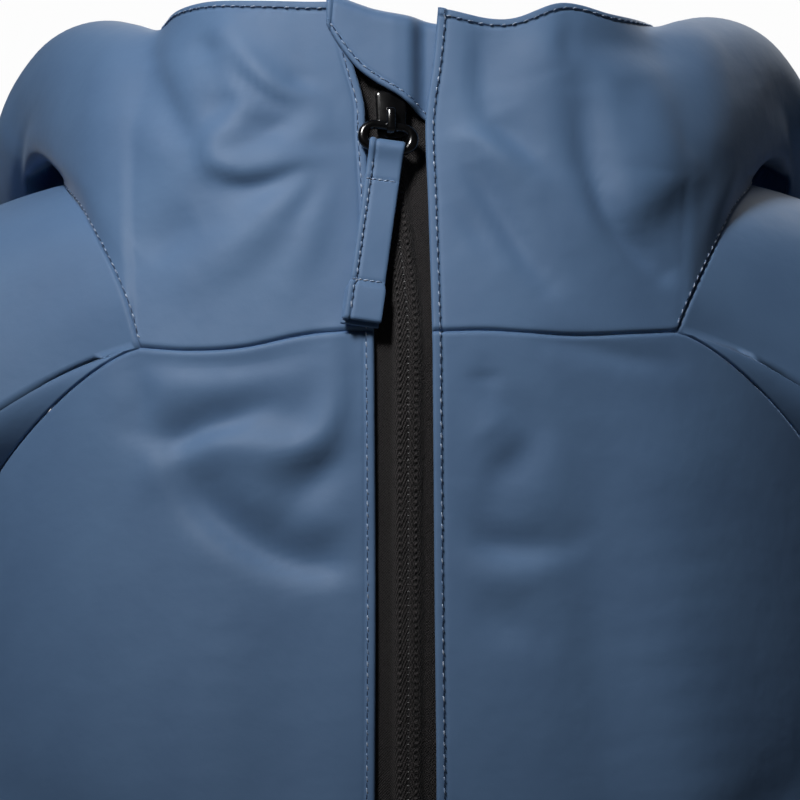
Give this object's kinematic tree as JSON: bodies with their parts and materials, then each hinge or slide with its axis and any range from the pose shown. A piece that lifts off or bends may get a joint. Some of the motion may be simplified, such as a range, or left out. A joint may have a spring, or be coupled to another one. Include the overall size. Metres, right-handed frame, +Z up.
{
  "type": "kids raincoat",
  "caption": "Hooded child's raincoat of coated cloth, filled out as worn with the hood down: raglan sleeves, front yoke cut with the hood, chest seam, centre zip with chin guard and cloth puller.",
  "frame": {"origin": "base of the neck, on the middle of the shoulder line, where the wearer carries the coat", "axes": "+Z up, the front faces -Y, +X to the right of someone looking at the front"},
  "size_m": [0.5476, 0.2764, 0.5839],
  "materials": {
    "coated_cloth": "matte polyurethane coating on knitted polyester, dusty blue",
    "zip_tape": "black woven polyester tape",
    "zip_coil": "black polyester coil",
    "black_enamel": "glossy black enamel on zinc"
  },
  "bodies": {
    "coat": {"front_left": "coated_cloth", "front_right": "coated_cloth", "back_body": "coated_cloth", "sleeve_left": "coated_cloth", "sleeve_right": "coated_cloth", "hood_left": "coated_cloth", "hood_right": "coated_cloth", "chin_guard": "coated_cloth", "zip_tape_left": "zip_tape", "zip_tape_right": "zip_tape", "zip_chain": "zip_coil", "zip_box": "black_enamel", "zip_slider": "black_enamel"},
    "puller": {"pull_ring": "black_enamel", "pull_strip": "coated_cloth"}
  },
  "joints": [
    {"name": "pull_swing", "type": "hinge", "parent": "coat", "child": "puller", "pos_m": [-0.005, -0.07553, 0.01734], "axis": [-0.9905, 0, 0.1374], "range_deg": [0, 120]}
  ]
}
